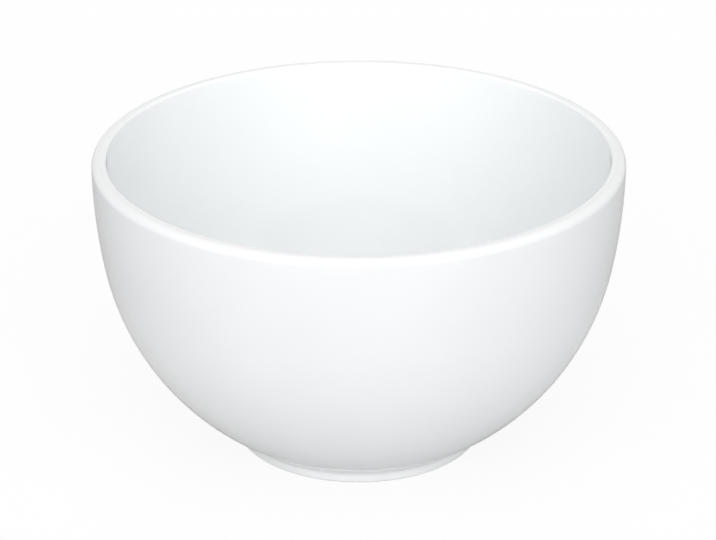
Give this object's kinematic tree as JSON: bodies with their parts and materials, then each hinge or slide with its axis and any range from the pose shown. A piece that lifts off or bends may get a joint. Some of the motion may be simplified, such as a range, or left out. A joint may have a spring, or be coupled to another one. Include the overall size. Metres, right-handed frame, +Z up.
{
  "type": "latte bowl",
  "caption": "Handleless white latte bowl with a rounded belly, a rounded upright lip and a low bare-footed standing ring, glazed inside and out.",
  "frame": {"origin": "centre of the standing face, on the table under the middle of the bowl", "axes": "+Z up along the bowl's axis, from the foot to the lip; X and Y are equal, because the bowl is round"},
  "size_m": [0.14, 0.14, 0.081],
  "materials": {
    "clay": "matt, fired and ground",
    "glaze": "gloss"
  },
  "bodies": {
    "root": {"bowl_body": "clay", "foot_ring": "clay", "outside_glaze": "glaze", "inside_glaze": "glaze", "underfoot_glaze": "glaze"}
  },
  "joints": []
}
